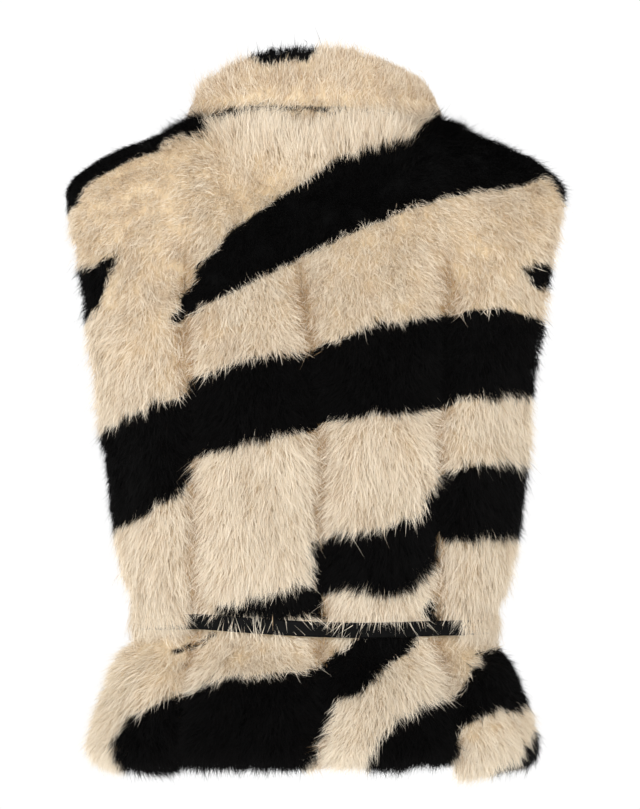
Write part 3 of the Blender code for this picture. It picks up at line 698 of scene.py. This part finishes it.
def body_nap(places, normals):
    """The way the pile runs on the body, its lean from upright, how unruly it is and its extra height.

    It runs down, and on the shoulders also outwards. It is most tousled there, and flatter and more orderly
    towards the hem. Below the collar at the back it rises, with a lean under 0, in front of the collar's
    lower edge. It is trimmed where the garment is slimmer than its even form.
    """
    x, y, z = places.T
    upward = np.clip(normals[:, 2], 0, 1)
    way = np.stack([OUTWARDS * upward * np.sign(x), FORWARDS * upward * np.sign(y), -np.ones(len(x))], axis=1)
    lower = ease(-z, *CALMING)
    middle = (y < 0) * (1 - ease(np.abs(x), *NECK_MIDDLE))
    rising, by_neck = middle * ease(z, *NECK_RISING), middle * ease(z, *NECK_TALL)
    by_collar = band(np.abs(x), *COLLAR_ENDS[:2]) * ease(z, *COLLAR_ENDS[2])
    left_shoulder = ease(-x, *LEFT_SHOULDER[0]) * ease(z, *LEFT_SHOULDER[1])
    left_side = ease(-x, *LEFT_SIDE[0]) * band(-z, *LEFT_SIDE[1:])
    right_hip = ease(x, *RIGHT_HIP[0]) * ease(-z, *RIGHT_HIP[1])
    lean = TOP_LEAN + LOWER_LEAN * lower - RISING_LEAN * rising
    extra = NECK_HEIGHT * by_neck + ENDS_HEIGHT * by_collar - TOP_TRIM * (1 - lower)
    extra = extra - SLIMMER * (left_shoulder + left_side + right_hip)
    return way, lean, TOP_UNRULY - CALM * lower - CALM * rising, extra


def collar_nap(places, normals):
    """What body_nap gives, for the collar: up and out above its parting, down below it, nearly upright."""
    x, y, z = places.T
    upward = np.where((z > COLLAR_PARTING) | (normals[:, 2] > COLLAR_TOP), 1.0, -1.0)
    way = COLLAR_OUT * away_from_axis(places) * [1, 1, 0] + np.stack([0 * x, 0 * x, upward], axis=1)
    foot = (1 - ease(z, *FOOT_END)) * (y < 0)
    extra = -COLLAR_TRIM - RIGHT_TRIM * ease(x, *RIGHT_END) - FOOT_TRIM * foot
    return way, np.full(len(x), COLLAR_LEAN), np.full(len(x), COLLAR_UNRULY), extra


def hem_height(x, name):
    """Height of a piece's lower edge of fur. The left half of the centre back slopes to its neighbour's."""
    if name == "back_centre_left":
        left = HEMS["back_side_left"]
        return left + (HEMS[name] - left) * ease(x, *HEM_SLOPE)
    return np.full(len(x), HEMS[name])


def hem_lift(places, name):
    """How far the cloth ends above the lower edge of the fur that hangs from it. The collar has no hem."""
    return HEM_FUR * (1 - ease(places[:, 2] - HEMS.get(name, -np.inf), 0, HEM_FUR_REACH))


def by_hem(places, name):
    """1 at the fur's lower edge, where the pile is dense and hangs, and 0 from 3 cm above it."""
    return 1 - ease(places[:, 2] - HEMS.get(name, -np.inf), *HEM_REACH)


def room_below(places, to_seam, name, belt, covering):
    """Longest way down that pile may run: to the fur's lower edge, and to the strap unless it covers that."""
    x, _, z = places.T
    if name not in HEMS:
        return np.where(z < COLLAR_PARTING, COLLAR_ROOM * to_seam, 1.0)
    to_hem = z - hem_height(x, name)
    to_belt = z - (strap_height(places) + belt.half_width)
    shows = (x > belt.shown_from) & (x < belt.shown_to) & (to_belt > 0)
    return np.where(shows, np.minimum(to_hem, to_belt + BELT_LAP + COVER_LAP * covering), to_hem)


def over_strap(places, name, belt):
    """1 just above the strap, where pile may lie over it, and 0 elsewhere."""
    above = places[:, 2] - strap_height(places)
    return band(above, (0.0, belt.half_width), OVER_END) * (name in HEMS)


def under_strap(places, name):
    """1 just below the strap, where pile may rise over it, and 0 elsewhere."""
    below = strap_height(places) - places[:, 2]
    return band(below, UNDER_START, UNDER_END) * (name in HEMS)


def beside_belt(places, belt):
    """1 at the garment's sides, where the pile hides the strap, and 0 where the strap shows."""
    outside = np.maximum(belt.shown_from - places[:, 0], places[:, 0] - belt.shown_to)
    return ease(outside, *BESIDE)


class Pile:
    """The pile of a piece: strands in tufts.

    Roots lie round a tuft's middle, under the solid's surface. A strand leaves its root at a steep lean and
    ends at that surface at a flatter one. Tips draw together, and each tuft has its own height, way, lean
    and tint. Beside a seam the pile is shorter and leans towards it, and it is tan: partly the tan roots that
    show there, partly painted shade in the seam's valley. At the hem it hangs. By the belt some lies over the
    strap and some rises over it. Colours follow the print where a strand shows.
    """

    def __init__(self, name, coat, nap, triangles, rng):
        scene = bpy.context.scene
        self.name, self.fur, self.belt = name, scene.jacket_fur, scene.jacket_belt
        self.rng, self.shared = rng, np.random.default_rng(SEED)
        self.tufts = triangles // STRAND_TRIANGLES // self.fur.tuft_strands
        self.count = self.tufts * self.fur.tuft_strands
        at = coat.scatter(self.tufts, rng, self.crowding)
        self.middles, self.normals, self.depths = at(coat.points), unit(at(coat.normals)), at(coat.depth)
        self.to_seam, self.from_seam = at(coat.to_seam), at(coat.from_seam)
        self.hem = by_hem(self.middles, name)
        self.comb(nap)
        self.ruffle()
        self.grow()

    def crowding(self, places):
        """How much denser tufts grow where they hide the strap, and at the hem."""
        hiding = over_strap(places, self.name, self.belt) * beside_belt(places, self.belt)
        return 1 + BELT_CROWD * hiding + HEM_CROWD * by_hem(places, self.name)

    def each(self, values):
        """Values of the tufts, for each of their strands."""
        return np.repeat(values, self.fur.tuft_strands, axis=0)

    def comb(self, nap):
        """Lays each tuft the way of the nap, and towards a seam beside it."""
        on_body = self.name in HEMS
        deep = ease(-self.middles[:, 2], *SEAM_FADE)
        if on_body:
            smooth = (1 - ease(self.to_seam, 0.0, SEAM_SMOOTH)) * (1 - deep)
            self.normals = unit(self.normals + SMOOTHING * smooth[:, None] * away_from_axis(self.middles))
        way, self.lean, self.unruly, self.extra = nap(self.middles, self.normals)
        deep = deep * on_body
        near_middle = np.abs(self.middles[:, 0]) < SIDE_SEAM
        self.by_seam = (1 - ease(self.to_seam, *SEAM_REACH)) * deep * near_middle
        fan = (1 - ease(self.to_seam, 0, SEAM_FAN)) * deep
        way = way - FAN_SHARE * fan[:, None] * self.from_seam * [1, 1, 0]
        self.down = unit(way - (way * self.normals).sum(axis=1, keepdims=True) * self.normals)
        self.aside = np.cross(self.normals, self.down)

    def slow(self, wave):
        """Waves of this size and length that run on from piece to piece."""
        size, length = wave
        return size * waves(self.middles, length, self.shared)

    def ruffle(self):
        """Turns, leans and raises tufts and their strands by chance, and picks those that cross the strap."""
        name, belt, fur, rng, each = self.name, self.belt, self.fur, self.rng, self.each
        tufts, count, middles = self.tufts, self.count, self.middles
        beside = beside_belt(middles, belt)
        over = np.maximum(beside, rng.random(tufts) < OVER_SHARE)
        self.covering = over * over_strap(middles, name, belt)
        under = rng.random(tufts) < UNDER_SHARE + SIDE_SHARE * beside
        self.rising = under * under_strap(middles, name)

        turn = self.slow(TURN_WAVE) + rng.normal(0, 1, tufts) * (TUFT_TURN + TUFT_LOOSE * self.unruly)
        loose = STRAND_TURN + STRAND_LOOSE * self.unruly
        self.turn = each(turn) + rng.normal(0, 1, count) * each(loose)
        lean = self.lean + COVER_LEAN * self.covering + HEM_LEAN * self.hem + self.slow(LEAN_WAVE)
        lean = lean + rng.normal(0, TUFT_LEAN, tufts)
        self.lean = each(lean - RISE_LEAN * self.rising) + rng.normal(0, STRAND_LEAN, count)
        self.guard = rng.random(count) < GUARD_SHARE
        height = fur.proud * (1 + self.slow(HEIGHT_WAVE) + rng.normal(0, TUFT_HEIGHT, tufts))
        height = height - SEAM_TRIM * self.by_seam + self.extra
        height = each(height + COVER_HEIGHT * self.covering + RISE_HEIGHT * self.rising)
        height = height + rng.normal(0, STRAND_HEIGHT, count)
        beyond = fur.fuzz * rng.random(count) ** FUZZ_POWER + fur.stray * self.guard * rng.random(count)
        dark = in_black(name, middles) > 0
        self.height = height + beyond * each(1 - DARK_TRIM * dark)

    def room(self, roots):
        """How far down each strand may reach: the room below it, times and plus some chance for its tuft."""
        rng, each = self.rng, self.each
        reach = each(self.covering) * rng.random(self.count) ** 2
        room = room_below(roots, each(self.to_seam), self.name, self.belt, reach)
        room = room * each(rng.uniform(*ROOM_UNEVEN, self.tufts))
        return room + each(rng.normal(0, HEM_UNEVEN, self.tufts) * self.hem)

    def grow(self):
        """The strands' curves and the ways across them.

        A strand's halves lie at its lean less its curl and plus its curl. Its length is twice its rise over
        the sum of their cosines, and is cut where it would drop farther than the room below it. Its middle
        is the mean of root, tip and twice the bend between the halves.
        """
        fur, rng, each, count, guard = self.fur, self.rng, self.each, self.count, self.guard
        spread = rng.normal(0, fur.tuft_radius, (count, 2))
        normals, down, aside = each(self.normals), each(self.down), each(self.aside)
        run = np.cos(self.turn)[:, None] * down + np.sin(self.turn)[:, None] * aside
        run = run * np.where(self.lean < 0, -1, 1)[:, None]
        lean = np.abs(self.lean) - GUARD_LEAN * guard
        offset = spread[:, :1] * down + spread[:, 1:] * aside
        depth = np.minimum(fur.root_depth, ROOT_SHARE * each(self.depths))
        roots = each(self.middles) + offset - depth[:, None] * normals
        roots[:, 2] += hem_lift(roots, self.name)

        curl = CURL + BELT_CURL * each(np.maximum(self.covering, self.rising))
        steep = np.radians(np.clip(lean - curl, *STEEP))
        flat = np.radians(np.clip(lean + curl, *FLAT))
        length = 2 * np.maximum(depth + self.height, LEAST_RISE) / (np.cos(steep) + np.cos(flat))
        length = np.clip(length, SHORTEST, fur.longest) * (1 + GUARD_LENGTH * guard * rng.random(count))
        dropping = np.maximum(-run[:, 2], LEAST_DROP) * length * (np.sin(steep) + np.sin(flat)) / 2
        length = length * np.clip(self.room(roots) / dropping, LEAST_ROOM, 1)
        first = np.cos(steep)[:, None] * normals + np.sin(steep)[:, None] * run
        second = np.cos(flat)[:, None] * normals + np.sin(flat)[:, None] * run
        bend = roots + first * length[:, None] / 2
        closing = 1 - fur.closing * each(1 - HEM_CLOSING * self.hem)[:, None]
        tips = bend + second * length[:, None] / 2 - closing * offset
        self.paths = np.stack([roots, (roots + 2 * bend + tips) / 4, tips], axis=1)

        twist = rng.normal(0, TWIST, count)
        ahead = unit(tips - roots)
        flank = unit(np.cross(ahead, normals))
        across = np.cos(twist)[:, None] * flank + np.sin(twist)[:, None] * np.cross(flank, ahead)
        width = rng.uniform(*WIDTHS, count) * (1 - GUARD_THIN * guard)
        self.across = across * fur.strand_width / 2 * width[:, None]

    def is_black(self):
        """Which strands are black: those that show in a stripe, with their tuft, but for a ragged edge."""
        shown = (1 - SHOWN) * self.paths[:, 0] + SHOWN * self.paths[:, 2]
        of_tuft = self.each(shown.reshape(self.tufts, self.fur.tuft_strands, 3).mean(axis=1))
        shown = 0.5 * (shown + of_tuft)
        sideways, upwards = (waves(shown, length, self.rng) for length in RAGGED_LENGTHS)
        return in_black(self.name, shown + RAGGED * np.stack([sideways, 0 * sideways, upwards], axis=1)) > 0

    def tint(self):
        """How pale each strand is: a mean tint plus patches and chance.

        It is less beside seams, for tan roots and painted shade in their valleys, and less at the top of the
        body and on the collar, as painted shade. It is more below the belt, as painted light.
        """
        below = -self.middles[:, 2]
        uneven = sum(
            waves(self.middles * [1, 1, tall], length, self.shared)
            for tall, length in (BROAD_PATCHES, FINE_PATCHES)
        )
        tint = TINT + TINT_UNEVEN * uneven + self.rng.normal(0, TUFT_TINT, self.tufts)
        # Beside a seam: the tan of the roots, and painted shade in the seam's valley
        tint = tint - SEAM_TAN_AND_SHADE * self.by_seam
        # Painted shade at the top of the body and on the whole collar
        tint = tint - (TOP_PAINTED_SHADE * (1 - ease(below, *CALMING)) if self.name in HEMS else COLLAR_PAINTED_SHADE)
        # Painted light below the belt
        tint = tint + SKIRT_PAINTED_LIGHT * ease(below, *SKIRT)
        mixed_by = self.each(STRAND_TINT + SEAM_MIXED * self.by_seam)
        return np.clip(self.each(tint) + self.rng.normal(0, 1, self.count) * mixed_by, 0, 1)

    def piece(self):
        """The strands as one piece, without those that are rooted under the strap."""
        black = self.is_black()
        rows = FIRST_ROW + PALE_SPAN * self.tint() + DARK_ROWS * black
        roots = self.paths[:, 0]
        kept = np.abs(roots[:, 2] - strap_height(roots)) > self.belt.half_width
        return strand_mesh(self.name + "_pile", self.paths[kept], self.across[kept], rows[kept])


def make_shell(name, coat, below):
    """A closed shell from the solid's inner side to the underfur, which lies this far below its surface.

    The points of a rim sink straight along it, so that pieces still meet at their seams. What doesn't carry
    pile, inside and at the edges, shows the backing.
    """
    rims = coat.rim_normals
    inward = coat.normals - (coat.normals * rims).sum(axis=1, keepdims=True) * rims
    sunk = np.minimum(below, SHELL_SHARE * coat.depth)
    points = coat.points - sunk[:, None] * inward + SEAM_CLOSE * rims
    points[:, 2] += hem_lift(coat.points, name)
    points, faces = halved(points, coat.all_faces)
    piece = face_mesh(name + "_backing", points, faces)
    piece.data.polygons.foreach_set("material_index", np.repeat(~coat.chosen, 4).astype(np.int32))
    stripe = piece.data.attributes.new("stripe", "FLOAT", "POINT")
    share = np.clip(0.5 + in_black(name, points) / STRIPE_RANGE, 0, 1)
    stripe.data.foreach_set("value", share.astype(np.float32))
    return piece


def finish_piece(piece, slot, *materials):
    """Gives a piece its materials and its body. The slot it is given is not used."""
    for material in materials:
        piece.data.materials.append(material)
    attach(piece, BODY)


def named_material(maker, settings):
    """The material that this function makes, made once."""
    kept = bpy.context.scene.get(maker.__name__)
    if kept is None:
        bpy.context.scene[maker.__name__] = kept = maker(settings)
    return kept


def furred(name, least, nap, triangles, number):
    """A fur piece of the garment: its shell, which replaces the solid, and its pile."""
    fur = bpy.context.scene.jacket_fur
    coat = Coat(name, least)
    shell = make_shell(name, coat, SHELL_DEPTH * fur.root_depth)
    finish_piece(shell, "fur", named_material(underfur_material, fur), named_material(backing_material, fur))
    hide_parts(name)
    pile = Pile(name, coat, nap, triangles, np.random.default_rng(SEED + number)).piece()
    finish_piece(pile, "fur", named_material(pile_material, fur))
    return shell, pile


def add_camera(scene, stage):
    """A camera straight behind the garment, as far off and as narrow as the photograph's pixels ask for."""
    camera = bpy.data.cameras.new("camera")
    camera.sensor_width = SENSOR
    camera.lens = SENSOR * stage.distance / (PICTURE_ROWS * stage.pixel)
    scene.camera = new_object("camera", camera)
    scene.camera.location = (stage.aim_x, -stage.distance, stage.aim_z)
    scene.camera.rotation_euler = (np.pi / 2, 0, 0)


def add_surround(scene, stage):
    """Pale light from all round, dimmer from above and behind, and a white backdrop straight behind."""
    world = bpy.data.worlds.new("pale surround")
    world.use_nodes = True
    tree = world.node_tree
    place = add_node(tree, "TexCoord")
    parts = add_node(tree, "SeparateXYZ", [(0, place.outputs["Generated"])])
    forward, up = parts.outputs[1], parts.outputs[2]
    start, end = ROOM_SIDES
    least = stage.surround * ROOM_SHARE
    room = add_node(tree, "MapRange", [(0, forward), (1, start), (2, end), (3, stage.surround), (4, least)])
    start, end = BACKDROP_SIDES
    backdrop = add_node(tree, "MapRange", [(0, forward), (1, start), (2, end), (3, 0.0), (4, BACKDROP)])
    ceiling = add_node(tree, "MapRange", [(0, up), (1, 0.0), (2, 1.0), (3, 1.0), (4, stage.ceiling)])
    dimmed = add_node(tree, "Math", [(0, room.outputs[0]), (1, ceiling.outputs[0])], operation="MULTIPLY")
    light = add_node(tree, "Math", [(0, dimmed.outputs[0]), (1, backdrop.outputs[0])], operation="MAXIMUM")
    background = tree.nodes["Background"]
    background.inputs["Color"].default_value = (1, 1, 1, 1)
    tree.links.new(light.outputs[0], background.inputs["Strength"])
    scene.world = world
    scene.view_settings.view_transform = "Standard"


def add_lamp(stage):
    """The main lamp, at the camera's left."""
    lamp = bpy.data.lights.new("key", "AREA")
    lamp.energy, lamp.size = stage.key, KEY_SIZE
    lamp_object = new_object("key", lamp)
    lamp_object.location, lamp_object.rotation_euler = KEY_PLACE, np.radians(KEY_TURN)


def add_floor(stage):
    """A painted floor, well below the garment."""
    corners = [(-1, -1), (1, -1), (1, 1), (-1, 1)]
    points = np.array([(x * FLOOR_HALF, y * FLOOR_HALF, FLOOR_HEIGHT) for x, y in corners], float)
    floor = face_mesh("floor", points, np.array([(0, 1, 2, 3)]))
    material, _, _ = new_material("painted floor", Roughness=0.8, Base_Color=(*stage.floor, 1))
    floor.data.materials.append(material)


class JACKET_OT_stage(bpy.types.Operator):
    """Set up the camera, the lights, the pale surround and the floor"""

    bl_idname = "jacket.stage"
    bl_label = "Stage"

    def execute(self, context):
        scene, stage = context.scene, context.scene.jacket_stage
        add_camera(scene, stage)
        add_surround(scene, stage)
        add_lamp(stage)
        add_floor(stage)
        return {"FINISHED"}


class JACKET_OT_panels(bpy.types.Operator):
    """Make the six fur pieces of the body"""

    bl_idname = "jacket.panels"
    bl_label = "Fur Panels"

    def execute(self, context):
        for number, (name, (triangles, width, length, area, _)) in enumerate(PANELS.items()):
            shell, pile = furred(name, PANEL_FACES, body_nap, triangles, number)
        return {"FINISHED"}


class JACKET_OT_collar(bpy.types.Operator):
    """Make the rolled fur collar"""

    bl_idname = "jacket.collar"
    bl_label = "Fur Collar"

    def execute(self, context):
        shell, _ = furred("collar", COLLAR_FACES, collar_nap, COLLAR_TRIANGLES, len(PANELS))
        return {"FINISHED"}


class JACKET_OT_belt(bpy.types.Operator):
    """Finish the leather strap, its buckle and prong"""

    bl_idname = "jacket.belt"
    bl_label = "Belt"

    def execute(self, context):
        belt = context.scene.jacket_belt
        leather, metal = leather_material(belt), metal_material(belt)
        for name, material in {"belt_strap": leather, "belt_buckle": metal, "belt_prong": metal}.items():
            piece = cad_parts[name]
            piece.data.materials.clear()
            piece.data.materials.append(material)
        return {"FINISHED"}


class JACKET_PT_sidebar(bpy.types.Panel):
    """Sidebar panel with the jacket's pieces and settings"""

    bl_idname = "JACKET_PT_sidebar"
    bl_label = "Fur Jacket"
    bl_space_type = "VIEW_3D"
    bl_region_type = "UI"
    bl_category = "Jacket"

    def draw(self, context):
        for operator in OPERATORS:
            self.layout.operator(operator.bl_idname)
        for group in SETTINGS:
            settings = getattr(context.scene, group)
            for name in settings.__annotations__:
                self.layout.prop(settings, name)


SETTINGS = {"jacket_fur": FurSettings, "jacket_belt": BeltSettings, "jacket_stage": StageSettings}
OPERATORS = (JACKET_OT_stage, JACKET_OT_panels, JACKET_OT_collar, JACKET_OT_belt)
CLASSES = (*SETTINGS.values(), *OPERATORS, JACKET_PT_sidebar)


def register():
    for kind in CLASSES:
        bpy.utils.register_class(kind)
    for name, kind in SETTINGS.items():
        setattr(bpy.types.Scene, name, bpy.props.PointerProperty(type=kind))


def unregister():
    for name in SETTINGS:
        delattr(bpy.types.Scene, name)
    for kind in reversed(CLASSES):
        bpy.utils.unregister_class(kind)


def main():
    register()
    for operator in (bpy.ops.jacket.stage, bpy.ops.jacket.panels, bpy.ops.jacket.collar, bpy.ops.jacket.belt):
        operator()


if __name__ == "__main__":
    main()
